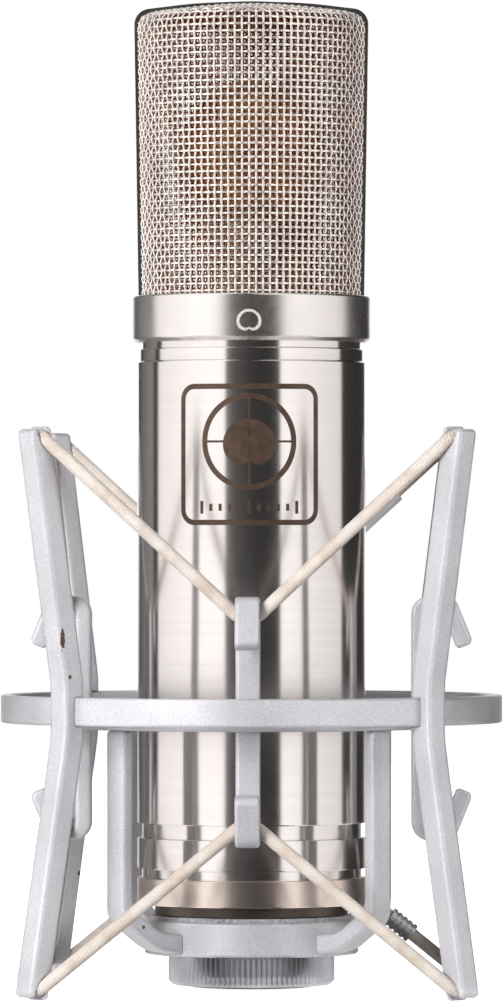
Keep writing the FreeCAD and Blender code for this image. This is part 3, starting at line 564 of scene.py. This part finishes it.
@dataclass
class Finishes:
    """Every material of the microphone and its mount, each made once."""

    made: dict[str, Material] = field(default_factory=dict)

    def all(self) -> list[Finish]:
        """The finishes, each started from what the real one is.

        Returns:
            One of each finish.
        """
        return [
            StovedPaint("stoved_silver_paint", "#BEBDC1", roughness=0.36, metallic=0.32,
                        grain_mm=0.35, depth_mm=0.008, mottle=0.03, mottle_mm=14.0),
            TurnedNickel("turned_nickel_plate", "#E1DAD7", roughness=0.2, metallic=1.0,
                         depth_mm=0.0003, mottle=0.008),
            # Bead blasting leaves an even frosted skin with a fine sparkle.
            Finish("blasted_nickel_plate", "#E4DDD9", roughness=0.27, metallic=1.0, grain_mm=0.3,
                   depth_mm=0.0014, mottle=0.02),
            # A brushed champagne plate has a warm silky sheen.
            Finish("satin_champagne_plate", "#EBDACF", roughness=0.29, metallic=1.0, grain_mm=0.35,
                   depth_mm=0.004),
            # Dark bronze plate hides in shadow and shows only soft highlights.
            Finish("dark_bronze_plate", "#5A504A", roughness=0.42, metallic=0.8, grain_mm=0.4,
                   mottle=0.1),
            # Drawn wire is bright with faint die lines; wear makes its tone uneven.
            Finish("nickel_plated_wire", "#F0E6E0", roughness=0.26, metallic=0.78, grain_mm=0.8,
                   depth_mm=0.002, mottle=0.05, mottle_mm=6.0),
            # Phosphor bronze gauze tarnishes to warm brown patches.
            Finish("phosphor_bronze_gauze", "#94654A", roughness=0.42, metallic=0.6, depth_mm=0.002,
                   mottle=0.14),
            # A rolled strip under plating is smooth and bright, a little wavy.
            Finish("plated_brass_strip", "#CFC8C2", roughness=0.2, metallic=1.0, grain_mm=0.6,
                   depth_mm=0.005, mottle=0.05),
            Braid("cotton_braid", "#CAC1BA", roughness=0.85, depth_mm=0.04, mottle=0.05),
            # Heat-shrunk polyolefin is smooth with a dull shine.
            Finish("shrunk_polyolefin", "#E2E0E0", roughness=0.45, grain_mm=0.8, mottle=0.04),
            # Crimping leaves soft aluminium dull, with pale rubbed crests.
            Finish("crimped_aluminium", "#C2C0C0", metallic=0.6, grain_mm=0.6, depth_mm=0.02),
            # Grey wool felt shows no gloss, only light and dark hairs.
            Felt("wool_felt", "#858388", roughness=0.95, grain_mm=0.45, depth_mm=0.25, mottle=0.25,
                 mottle_mm=0.8),
            # Zinc over steel is bright with a faint blue-grey cloud.
            Finish("zinc_plated_steel", "#B9BABD", roughness=0.28, metallic=1.0, depth_mm=0.006,
                   mottle=0.05),
            # Fluted by a form tool and handled bare, the steel has gone grey.
            Finish("fluted_bare_steel", "#A09FA4", roughness=0.32, metallic=0.9, mottle=0.1),
            # Lacquered brass keeps its yellow but loses its mirror.
            Finish("machined_brass", "#D0A878", roughness=0.36, metallic=0.8, grain_mm=0.4,
                   depth_mm=0.006),
            # Gold is sputtered on polyester film: a mirror with slight waves.
            Finish("gold_sputtered_film", "#F0B478", roughness=0.3, metallic=0.6, grain_mm=3.0,
                   depth_mm=0.02, mottle=0.05),
            # Milled aluminium is a pale grey satin.
            Finish("milled_aluminium", "#BFC1C4", roughness=0.38, metallic=1.0, depth_mm=0.008,
                   mottle=0.05),
            # Black nylon from a textured mould has a low, broken shine.
            Finish("moulded_nylon", "#17171A", roughness=0.5, depth_mm=0.02, mottle=0.1),
            # Natural acetal is a waxy cream with a soft shine.
            Finish("turned_acetal", "#E4DCC8", roughness=0.35, grain_mm=0.6, depth_mm=0.008,
                   mottle=0.04),
            # Solder mask over glass cloth shows a faint weave-sized mottle.
            Finish("glass_epoxy_board", "#1E5A34", grain_mm=0.7, mottle=0.1, mottle_mm=3.0),
            # Dipped laminations look wet and almost black.
            Finish("varnished_steel_stack", "#2B2724", roughness=0.35, metallic=0.3, grain_mm=0.4,
                   depth_mm=0.03, mottle=0.12, mottle_mm=3.0),
            # Printed sleeve shrunk on a can is smooth and glossy.
            Finish("shrunk_pvc_can", "#27406E", roughness=0.3, grain_mm=1.0),
            # Etching through the plate leaves a thin matt brown oxide.
            Finish("etched_brown_oxide", "#4B3B32", roughness=0.5, metallic=0.5, grain_mm=0.4,
                   depth_mm=0.005, mottle=0.12, mottle_mm=2.0),
            # The raised mark is rubbed to a pale matt where cloths have caught it.
            Finish("rubbed_nickel_mark", "#D9CFC9", roughness=0.5, metallic=0.6, grain_mm=0.4,
                   depth_mm=0.004),
        ]

    def build(self) -> None:
        """Makes every material."""
        for finish in self.all():
            self.made[finish.name] = finish.build()
        LOG.info("finishes: %d materials", len(self.made))

    def __getitem__(self, name: str) -> Material:
        """The material of that name."""
        return self.made[name]


# ---- CAD nodes that keep their shape ----


@dataclass
class CarriedNodes:
    """The pieces shown as the CAD made them, each given its finish."""

    finishes: Finishes
    coats: dict[str, tuple[str, ...]] = field(default_factory=lambda: {
        "stoved_silver_paint": (
            "outer_ring", "upright_front_right", "upright_rear_right", "upright_rear_left",
            "upright_front_left", "inner_ring", "hook_right", "hook_rear", "hook_left",
            "hook_front", "post_front_right", "post_rear_right", "post_rear_left",
            "post_front_left", "seat_dish", "stand_lug", "swivel_fork"),
        "turned_nickel_plate": ("body_tube", "top_ring", "band_ring"),
        "blasted_nickel_plate": ("head_collar",),
        "satin_champagne_plate": ("base_ring",),
        "dark_bronze_plate": ("threaded_base",),
        "plated_brass_strip": ("head_rib",),
        "shrunk_polyolefin": ("upper_cord_sleeve",),
        "crimped_aluminium": ("lower_cord_ferrule",),
        "wool_felt": ("seat_felt",),
        "zinc_plated_steel": ("pivot_bolt", "clamp_washer", "nut_clip", "capsule_screws",
                              "chassis_screws"),
        "fluted_bare_steel": ("ring_nut",),
        "machined_brass": ("thread_adapter", "backplate_front", "backplate_rear",
                           "clamp_ring_front", "clamp_ring_rear"),
        "gold_sputtered_film": ("diaphragm_front", "diaphragm_rear", "xlr_pins"),
        "milled_aluminium": ("chassis_lower_plate", "chassis_upper_plate", "chassis_rail_left",
                             "chassis_rail_right", "capsule_deck"),
        "moulded_nylon": ("clamp_knob", "xlr_insert", "transistor"),
        "turned_acetal": ("capsule_post", "capsule_leads"),
        "glass_epoxy_board": ("circuit_board",),
        "varnished_steel_stack": ("output_transformer",),
        "shrunk_pvc_can": ("capacitors",),
    })

    def build(self) -> None:
        """Dresses every carried node and reports any that is left bare."""
        for finish, nodes in self.coats.items():
            for node in nodes:
                dress(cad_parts[node], self.finishes[finish])
        dressed = {node for nodes in self.coats.values() for node in nodes}
        bare = sorted(set(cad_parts) - dressed)
        LOG.info("carried nodes: %d dressed, others replaced: %s", len(dressed), ", ".join(bare))


# ---- Head ----


@dataclass
class Cloth:
    """One layer of wire cloth formed to the head: rings round it and wires up and over it."""

    name: str
    inset_mm: float
    wire_mm: float
    around: int
    rows: int
    crimp_mm: float
    steps: int
    sides: int
    shoulder_mm: float = 3.2
    rise_mm: float = 2.2
    taper_mm: float = 1.0
    first_row: float = 0.4
    over_mm: float = 6.0
    lap_mm: float = 0.3

    def __post_init__(self) -> None:
        """Reads the formed shape's heights and radii from the CAD cloth."""
        low, high = box("grille_mesh")
        inset = self.inset_mm * MM
        self.top_r = (high.x - low.x) / 2 - inset
        self.foot_r = self.top_r - self.taper_mm * MM
        self.foot_z, self.top_z = low.z, high.z - inset
        self.pitch = (self.top_z - self.foot_z) / self.rows
        self.bend = (self.shoulder_mm - self.inset_mm) * MM
        self.wall = self.top_z - self.rise_mm * MM - self.bend - self.foot_z

    def point(self, along: float, angle: float, out: float) -> Vector:
        """A point on the formed surface.

        Args:
            along: Distance up the surface from its foot, in metres.
            angle: Bearing in radians from the front.
            out: Distance off the surface.

        Returns:
            The point.
        """
        quarter = self.bend * math.pi / 2
        if along <= self.wall:
            radius = self.foot_r + (self.top_r - self.foot_r) * along / self.wall
            height, across, up = self.foot_z + along, 1.0, 0.0
        elif along <= self.wall + quarter:
            turn = (along - self.wall) / self.bend
            across, up = math.cos(turn), math.sin(turn)
            radius = self.top_r - self.bend * (1 - across)
            height = self.foot_z + self.wall + self.bend * up
        else:
            run = along - self.wall - quarter
            share = min(1.0, run / (self.top_r - self.bend))
            radius = max(0.0, self.top_r - self.bend - run)
            height = self.foot_z + self.wall + self.bend
            height += self.rise_mm * MM * math.sin(share * math.pi / 2)
            across, up = 0.0, 1.0
        radius, height = radius + out * across, height + out * up
        return Vector((radius * math.sin(angle), -radius * math.cos(angle), height))

    def rings(self) -> Object:
        """The wires that run round the head, over and under the upright ones.

        Returns:
            The wires.
        """
        paths = []
        steps = self.around * self.steps
        for row in range(self.rows + 1):
            path = []
            for step in range(steps):
                wave = math.cos(math.pi * (step / self.steps + row))
                along, angle = (row + self.first_row) * self.pitch, 2 * math.pi * step / steps
                path.append(self.point(along, angle, self.crimp_mm * MM * wave))
            paths.append(path)
        return wires(self.name + "_rings", paths, self.wire_mm / 2, True, self.sides)

    def uprights(self) -> Object:
        """The wires that run up the head and past the wall's top, over its shoulder.

        Returns:
            The wires.
        """
        length = self.wall + self.over_mm * MM
        count = int(length / self.pitch * self.steps)
        paths = []
        for column in range(self.around):
            angle = 2 * math.pi * column / self.around
            path = []
            for step in range(count + 1):
                along = length * step / count
                wave = math.cos(math.pi * (along / self.pitch - self.first_row + column + 1))
                path.append(self.point(along, angle, self.crimp_mm * MM * wave))
            paths.append(path)
        return wires(self.name + "_uprights", paths, self.wire_mm / 2, False, self.sides)

    def crown(self) -> Object:
        """The cloth over the top, woven square, up to the shoulder.

        Returns:
            The wires.
        """
        reach = self.top_r - self.bend + self.lap_mm * MM
        lanes = int(reach / self.pitch)
        paths = []
        for turned in (False, True):
            for lane in range(-lanes, lanes + 1):
                offset = lane * self.pitch
                half = math.sqrt(reach ** 2 - offset ** 2)
                count = max(4, int(4 * half / self.pitch))
                path = []
                for step in range(count + 1):
                    along = -half + 2 * half * step / count
                    share = max(0.0, 1 - math.hypot(along, offset) / reach)
                    wave = math.cos(math.pi * (along / self.pitch + lane)) * (-1 if turned else 1)
                    height = self.top_z - self.rise_mm * MM * (1 - math.sin(share * math.pi / 2))
                    height += self.crimp_mm * MM * wave
                    place = (offset, along) if turned else (along, offset)
                    path.append(Vector((*place, height)))
                paths.append(path)
        return wires(self.name + "_crown", paths, self.wire_mm / 2, False, self.sides)


@dataclass
class Head:
    """The wire head: outer cloth over a fine gauze."""

    finishes: Finishes
    cloth: Cloth = field(default_factory=lambda: Cloth(
        "grille_cloth", inset_mm=0.54, wire_mm=0.58, around=100, rows=42, crimp_mm=0.25, steps=2,
        sides=1))
    gauze: Cloth = field(default_factory=lambda: Cloth(
        "grille_gauze", inset_mm=1.4, wire_mm=0.28, around=200, rows=84, crimp_mm=0.0, steps=1,
        sides=0))

    def build(self) -> None:
        """Models both layers and dresses them."""
        layers = ((self.cloth, "nickel_plated_wire", Slot.WIRE, "grille_mesh"),
                  (self.gauze, "phosphor_bronze_gauze", Slot.GAUZE, "grille_lining"))
        for layer, finish, slot, node in layers:
            for piece in (layer.rings(), layer.uprights(), layer.crown()):
                dress(piece, self.finishes[finish])
                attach(piece, Body.MICROPHONE.value)
                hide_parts(node)
                LOG.info("%s: %d faces", piece.name, len(piece.data.polygons))


# ---- Elastic cords ----


@dataclass
class Lacing:
    """One taut closed loop of braided elastic over four fork tips and through four hooks."""

    name: str
    node: str
    finishes: Finishes
    hook_corner: Vector
    tip_corner: Vector
    hook_z: float
    tip_z: float
    radius_mm: float = 1.5
    rib_mm: float = 0.56
    rib_depth: float = 0.014
    hook_bend_mm: float = 4.5
    tip_bend_mm: float = 3.2
    step_mm: float = 0.14
    arc_steps: int = 24
    sides: int = 5

    def corners(self) -> list[Vector]:
        """The eight corners of the loop, hook and fork tip in turn.

        Returns:
            The corners, in millimetres.
        """
        found = []
        for quarter in range(4):
            turn = Matrix.Rotation(quarter * math.pi / 2, 3, "Z")
            found += [turn @ self.hook_corner, turn @ self.tip_corner]
        return found

    def line(self) -> list[Vector]:
        """The centre line in metres: straight runs and tangent arcs, evenly stepped.

        Returns:
            Its points.
        """
        corners = self.corners()
        rough: list[Vector] = []
        for index, corner in enumerate(corners):
            before, after = corners[index - 1], corners[(index + 1) % len(corners)]
            radius = self.tip_bend_mm if index % 2 else self.hook_bend_mm
            to_before, to_after = (before - corner).normalized(), (after - corner).normalized()
            half = to_before.angle(to_after) / 2
            middle = (to_before + to_after).normalized()
            centre = corner + middle * (radius / math.sin(half))
            start = corner + to_before * (radius / math.tan(half)) - centre
            end = corner + to_after * (radius / math.tan(half)) - centre
            sweep = start.angle(end)
            for step in range(self.arc_steps + 1):
                share = step / self.arc_steps
                spoke = start * math.sin((1 - share) * sweep) + end * math.sin(share * sweep)
                spoke /= math.sin(sweep)
                rough.append(centre + spoke)
        return self.evenly(rough)

    def evenly(self, rough: list[Vector]) -> list[Vector]:
        """Steps along a closed line at even distances.

        Args:
            rough: The line's points, in millimetres.

        Returns:
            Evenly spaced points, in metres.
        """
        lengths = [(rough[(i + 1) % len(rough)] - point).length for i, point in enumerate(rough)]
        count = round(sum(lengths) / self.step_mm)
        gap = sum(lengths) / count
        points, index, walked = [], 0, 0.0
        for step in range(count):
            while walked + lengths[index] < step * gap:
                walked += lengths[index]
                index += 1
            share = (step * gap - walked) / lengths[index]
            points.append(rough[index].lerp(rough[(index + 1) % len(rough)], share) * MM)
        return points

    def build(self) -> None:
        """Models the ribbed cord, dresses it and hides the CAD cord."""
        path = self.line()
        ribs = round(len(path) * self.step_mm / self.rib_mm)
        swell = [1 - self.rib_depth * (1 + math.cos(2 * math.pi * ribs * i / len(path))) / 2
                 for i in range(len(path))]
        piece = wires(self.name, [path], self.radius_mm, True, self.sides, swell)
        dress(piece, self.finishes["cotton_braid"])
        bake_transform(piece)
        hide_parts(self.node)
        LOG.info("%s: %.1f mm, %d faces", piece.name, len(path) * self.step_mm,
                 len(piece.data.polygons))


# ---- Marks on the body ----


@dataclass
class Marks:
    """Flat marks laid round a turned surface: an etched panel and a raised pickup symbol."""

    finishes: Finishes
    tube_mm: float = 26.0
    collar_mm: float = 27.0
    panel_half_mm: float = 15.4
    panel_low_mm: float = 105.4
    panel_high_mm: float = 137.2
    corner_mm: float = 3.5
    border_mm: float = 1.2
    chart_mm: float = 10.9
    chart_z_mm: float = 124.2
    chart_ring_mm: float = 1.25
    heart_share: float = 0.84
    heart_drop: float = 0.37
    heart_rings: int = 10
    hair_mm: float = 0.5
    hair_gap_mm: float = 1.1
    tick_mm: float = 1.6
    long_tick_mm: float = 2.9
    tick_wide_mm: float = 0.75
    tick_apart_mm: float = 2.2
    tick_z_mm: float = 109.4
    symbol_mm: float = 4.3
    symbol_z_mm: float = 149.6
    symbol_hole: float = 0.76
    symbol_proud_mm: float = 0.25
    etch_mm: float = 0.012
    skin_mm: float = 0.03
    ring_steps: int = 96

    def rounded(self, half: float, low: float, high: float, corner: float) -> Outline:
        """The outline of a rounded rectangle, in the flat drawing.

        Args:
            half: Half its width.
            low: Its lowest height.
            high: Its highest height.
            corner: Its corners' radius.

        Returns:
            Points along it, about half a millimetre apart on the straight sides.
        """
        bends: Outline = []
        for quarter, (side, top) in enumerate(((1, 1), (-1, 1), (-1, -1), (1, -1))):
            centre = side * (half - corner), (high + low) / 2 + top * ((high - low) / 2 - corner)
            for step in range(9):
                angle = math.pi / 2 * (quarter + step / 8)
                bends.append((centre[0] + corner * math.cos(angle),
                              centre[1] + corner * math.sin(angle)))
        found = []
        for (x, y), (after_x, after_y) in zip(bends, bends[1:] + bends[:1]):
            count = 24 if math.hypot(after_x - x, after_y - y) > 3 else 1
            found += [(x + (after_x - x) * k / count, y + (after_y - y) * k / count)
                      for k in range(count)]
        return found

    def ring(self, radius: float, height: float, dent: float = 0.0) -> Outline:
        """A circle, or a heart-shaped pickup curve with its dent at the bottom.

        Args:
            radius: Its radius at the top.
            height: Height of its centre.
            dent: Zero for a circle, one for a full heart shape.

        Returns:
            Points along it.
        """
        found = []
        for step in range(self.ring_steps):
            angle = 2 * math.pi * step / self.ring_steps
            reach = radius * (1 - dent / 2 + dent / 2 * math.cos(angle))
            found.append((-reach * math.sin(angle), height + reach * math.cos(angle)))
        return found

    def inset(self, outline: Outline, width: float) -> Outline:
        """The same outline moved in by a width.

        Args:
            outline: Points along a closed line, anticlockwise.
            width: How far in.

        Returns:
            As many points.
        """
        found = []
        for index, (x, y) in enumerate(outline):
            before, after = outline[index - 1], outline[(index + 1) % len(outline)]
            run = Vector((after[0] - before[0], after[1] - before[1])).normalized()
            found.append((x - run.y * width, y + run.x * width))
        return found

    def about(self, outline: Outline, share: float) -> Outline:
        """An outline shrunk about its middle to a share of its size."""
        middle = (max(y for _, y in outline) + min(y for _, y in outline)) / 2
        return [(x * share, middle + (y - middle) * share) for x, y in outline]

    def band(self, shape: BMesh, outer: Outline, inner: Outline) -> None:
        """Fills the flat band between two closed lines.

        Args:
            shape: The bmesh that takes it.
            outer: Its outer line.
            inner: Its inner line, with as many points.
        """
        edges = []
        for outline in (outer, inner):
            verts = [shape.verts.new((x, y, 0)) for x, y in outline]
            edges += [shape.edges.new((vert, verts[i - 1])) for i, vert in enumerate(verts)]
        bmesh.ops.bridge_loops(shape, edges=edges)

    def bar(self, shape: BMesh, middle: tuple[float, float], size: tuple[float, float],
            turn: float = 0.0) -> None:
        """Adds a flat bar, cut fine enough to bend round the tube.

        Args:
            shape: The bmesh that takes it.
            middle: Across and up of its middle.
            size: Its width and height before it is turned.
            turn: How far it is turned, in radians.
        """
        place = Matrix.Translation((*middle, 0)) @ Matrix.Rotation(turn, 4, "Z")
        place = place @ Matrix.Diagonal((*size, 1, 1))
        bmesh.ops.create_grid(shape, x_segments=2, y_segments=24, size=0.5, matrix=place)

    def wrap(self, name: str, shape: BMesh, radius: float, finish: str,
             proud: float) -> None:
        """Thickens a flat drawing, lays it round the axis and dresses it.

        Args:
            name: The piece's name.
            shape: The flat drawing in millimetres, X across and Y up.
            radius: Radius of the surface it lies on.
            finish: Its material.
            proud: How far it stands off the surface.
        """
        bmesh.ops.remove_doubles(shape, verts=shape.verts, dist=0.0001)
        for face in shape.faces:
            face.normal_update()
            if face.normal.z < 0:
                face.normal_flip()
        base = list(shape.faces)
        made = bmesh.ops.extrude_face_region(shape, geom=base)["geom"]
        for vert in (part for part in made if isinstance(part, bmesh.types.BMVert)):
            vert.co.z = proud
        for face in base:
            face.normal_flip()
        bmesh.ops.translate(shape, verts=shape.verts, vec=(0, 0, radius - self.skin_mm))
        for vert in shape.verts:
            angle = vert.co.x / radius
            across, up, out = math.sin(angle), vert.co.y, vert.co.z
            vert.co = Vector((out * across, -out * math.cos(angle), up)) * MM
        piece = dress(from_bmesh(name, shape, False), self.finishes[finish])
        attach(piece, Body.MICROPHONE.value)
        LOG.info("%s: %d faces", name, len(piece.data.polygons))

    def panel(self) -> None:
        """The etched border round a generic polar chart, above a row of plain ticks."""
        half = self.tube_mm * math.asin(self.panel_half_mm / self.tube_mm)
        shape = bmesh.new()
        outline = self.rounded(half, self.panel_low_mm, self.panel_high_mm, self.corner_mm)
        self.band(shape, outline, self.inset(outline, self.border_mm))
        outline = self.ring(self.chart_mm, self.chart_z_mm)
        self.band(shape, outline, self.inset(outline, self.chart_ring_mm))
        heart = self.ring(self.chart_mm * self.heart_share,
                          self.chart_z_mm - self.chart_mm * self.heart_drop, 1.0)
        shares = [1 - step / self.heart_rings for step in range(self.heart_rings + 1)]
        for outer, inner in zip(shares, shares[1:]):
            self.band(shape, self.about(heart, outer), self.about(heart, inner))
        for turn in (0.0, math.pi / 2):
            length = 2 * (self.chart_mm - self.hair_gap_mm)
            self.bar(shape, (0, self.chart_z_mm), (self.hair_mm, length), turn)
        for step in range(-5, 6):
            height = self.long_tick_mm if step % 5 == 0 else self.tick_mm
            middle = (step * self.tick_apart_mm, self.tick_z_mm)
            self.bar(shape, middle, (self.tick_wide_mm, height))
        self.wrap("etched_panel", shape, self.tube_mm, "etched_brown_oxide",
                  self.etch_mm + self.skin_mm)

    def symbol(self) -> None:
        """The heart-shaped pickup symbol that marks the front of the collar."""
        shape = bmesh.new()
        outline = self.ring(self.symbol_mm, self.symbol_z_mm, 1.0)
        self.band(shape, outline, self.about(outline, self.symbol_hole))
        self.wrap("pickup_symbol", shape, self.collar_mm, "rubbed_nickel_mark",
                  self.symbol_proud_mm + self.skin_mm)

    def build(self) -> None:
        """Models both marks."""
        self.panel()
        self.symbol()


# ---- Studio ----


@dataclass(frozen=True)
class Card:
    """A curved card on the floor, up round the object and over it, that only gloss sees.

    Angles are in degrees round the object from the front, and levels are the light it gives
    from its first edge to its last.
    """

    name: str
    start: float
    end: float
    levels: tuple[float, ...]
    profile: tuple[tuple[float, float], ...] = (
        (0.02, 0.003), (1.25, 0.003), (1.25, 1.9), (0.02, 2.6))

    def build(self) -> None:
        """Makes the card with its shades."""
        shape = bmesh.new()
        count = max(12, round(abs(self.end - self.start) / 3))
        angle = math.radians(self.start)
        verts = [shape.verts.new((r * math.sin(angle), -r * math.cos(angle), z))
                 for r, z in self.profile]
        for low, high in zip(verts, verts[1:]):
            shape.edges.new((low, high))
        bmesh.ops.spin(shape, geom=[*shape.verts, *shape.edges], cent=(0, 0, 0), axis=(0, 0, 1),
                       angle=math.radians(self.end - self.start), steps=count, use_merge=False)
        card = from_bmesh(self.name, shape)
        shade = card.data.attributes.new("level", "FLOAT", "POINT")
        for index, vertex in enumerate(card.data.vertices):
            angle = math.degrees(math.atan2(vertex.co.x, -vertex.co.y)) - self.start
            share = min(1.0, max(0.0, (angle % 360) / (self.end - self.start)))
            share *= len(self.levels) - 1
            if angle % 360 > 359.9:
                share = 0.0
            step = min(int(share), len(self.levels) - 2)
            low, high = self.levels[step:step + 2]
            shade.data[index].value = low + (share - step) * (high - low)
        material, tree = blank(self.name)
        level = add(tree, "Attribute", attribute_name="level").outputs["Fac"]
        glow = add(tree, "Emission", {"Strength": level})
        add(tree, "OutputMaterial", {"Surface": glow.outputs[0]})
        dress(card, material)
        for ray in ("camera", "diffuse", "transmission", "shadow", "volume_scatter"):
            setattr(card, "visible_" + ray, False)


@dataclass
class Studio:
    """Pale floor, soft light, the cards round the object and the camera."""

    azimuth: float = 1.2
    distance: float = 1.7
    eye_z: float = 0.0998
    tilt: float = 0.3727
    lens: float = 267.6
    floor_glow: float = 0.97
    sky: float = 0.06
    aim_z: float = 0.11

    def cards(self) -> list[Card]:
        """The cards, from the left round the front to the back.

        Returns:
            The eight cards.
        """
        return [
            Card("card_front_dark", -25, 30, (0.2, 0.1, 0.075, 0.05, 0.042, 0.042, 0.045)),
            Card("card_left_white", -107, -25, (1.12, 1.25, 1.4, 1.4)),
            Card("card_left_edge", -116, -107, (0.05, 0.05)),
            Card("card_left_grey", -150, -116, (0.12, 0.22, 0.3)),
            Card("card_right_white", 30, 104, (1.35, 1.2, 1.05, 0.95)),
            Card("card_right_dark", 104, 163, (0.05, 0.035, 0.05)),
            Card("card_back_white", 163, 200, (1.2, 1.2)),
            Card("card_back_dark", 200, 210, (0.06, 0.06)),
        ]

    def world(self) -> None:
        """White behind the object and in what it reflects; a plain soft level on the rest."""
        world = bpy.context.scene.world or bpy.data.worlds.new("studio")
        bpy.context.scene.world = world
        world.use_nodes = True
        tree = world.node_tree
        tree.nodes.clear()
        level = add(tree, "Mix", {"Factor": self.seen(tree), 2: self.sky, 3: 1.0},
                    data_type="FLOAT")
        back = add(tree, "Background", {"Color": linear("#FFFFFF"), "Strength": level.outputs[0]})
        add(tree, "OutputWorld", {"Surface": back.outputs[0]})

    def seen(self, tree: Tree) -> Socket:
        """One where the camera, a gloss or a glass looks straight at the surface.

        Args:
            tree: The node tree.

        Returns:
            The value, zero or one.
        """
        path = add(tree, "LightPath").outputs
        first = maths(tree, "MAXIMUM", path["Is Camera Ray"], path["Is Glossy Ray"])
        return maths(tree, "MAXIMUM", first, path["Is Transmission Ray"])

    def floor(self) -> None:
        """A wide white floor that keeps the object's soft shadow."""
        shape = bmesh.new()
        bmesh.ops.create_grid(shape, x_segments=8, y_segments=8, size=6.0)
        floor = from_bmesh("floor", shape)
        material, tree = blank("matt_white_floor")
        matt = add(tree, "BsdfDiffuse", {"Color": linear("#C9C9C9")})
        level = maths(tree, "MULTIPLY", self.seen(tree), self.floor_glow)
        glow = add(tree, "Emission", {"Strength": level})
        both = add(tree, "AddShader", {0: matt.outputs[0], 1: glow.outputs[0]})
        add(tree, "OutputMaterial", {"Surface": both.outputs[0]})
        dress(floor, material)

    def lamp(self, name: str, place: tuple[float, float, float], size: tuple[float, float],
             power: float) -> None:
        """Adds a soft box that points at the object.

        Args:
            name: The lamp's name.
            place: Where it stands, in metres.
            size: Its width and height.
            power: Its power in watts.
        """
        data = bpy.data.lights.new(name, "AREA")
        data.shape, data.size, data.size_y, data.energy = "RECTANGLE", *size, power
        lamp = link(name, data)
        lamp.location = place
        aim = Vector((0, 0, self.aim_z)) - lamp.location
        lamp.rotation_euler = aim.to_track_quat("-Z", "Y").to_euler()
        lamp.visible_glossy = False

    def camera(self) -> None:
        """A long lens, almost level, a little below the middle of the object."""
        data = bpy.data.cameras.new("camera")
        data.lens, data.sensor_width, data.sensor_fit, data.clip_end = self.lens, 36.0, "AUTO", 50.0
        camera = link("camera", data)
        turn = math.radians(self.azimuth)
        camera.location = (self.distance * math.sin(turn), -self.distance * math.cos(turn),
                           self.eye_z)
        camera.rotation_euler = (math.radians(90 + self.tilt), 0, turn)
        bpy.context.scene.camera = camera

    def build(self) -> None:
        """Sets up the studio."""
        bpy.context.scene.view_settings.view_transform = "Standard"
        self.world()
        self.floor()
        for card in self.cards():
            card.build()
        self.lamp("softbox_left", (-0.4, -0.7, 0.24), (0.35, 0.6), 12)
        self.lamp("softbox_right", (1.4, -0.5, 0.5), (0.8, 1.3), 14)
        self.lamp("softbox_top", (0.0, 0.1, 1.5), (1.2, 1.2), 2)
        self.lamp("softbox_back", (0.2, 1.4, 0.8), (1.0, 1.2), 10)
        self.camera()
        LOG.info("studio: %d cards", len(self.cards()))


def main() -> None:
    """Builds the studio, the finishes and every piece."""
    logging.basicConfig(level=logging.INFO, format="%(message)s")
    Studio().build()
    finishes = Finishes()
    finishes.build()
    CarriedNodes(finishes).build()
    Head(finishes).build()
    Lacing("upper_cord_braid", "upper_cord", finishes, hook_corner=Vector((41.749, 0, 83.005)),
           tip_corner=Vector((48.923, 48.923, 128.257)), hook_z=84.65, tip_z=125.2).build()
    Lacing("lower_cord_braid", "lower_cord", finishes, hook_corner=Vector((41.756, 0, 39.671)),
           tip_corner=Vector((49.497, 49.497, -0.622)), hook_z=38.35, tip_z=2.04).build()
    Marks(finishes).build()


if __name__ == "__main__":
    main()
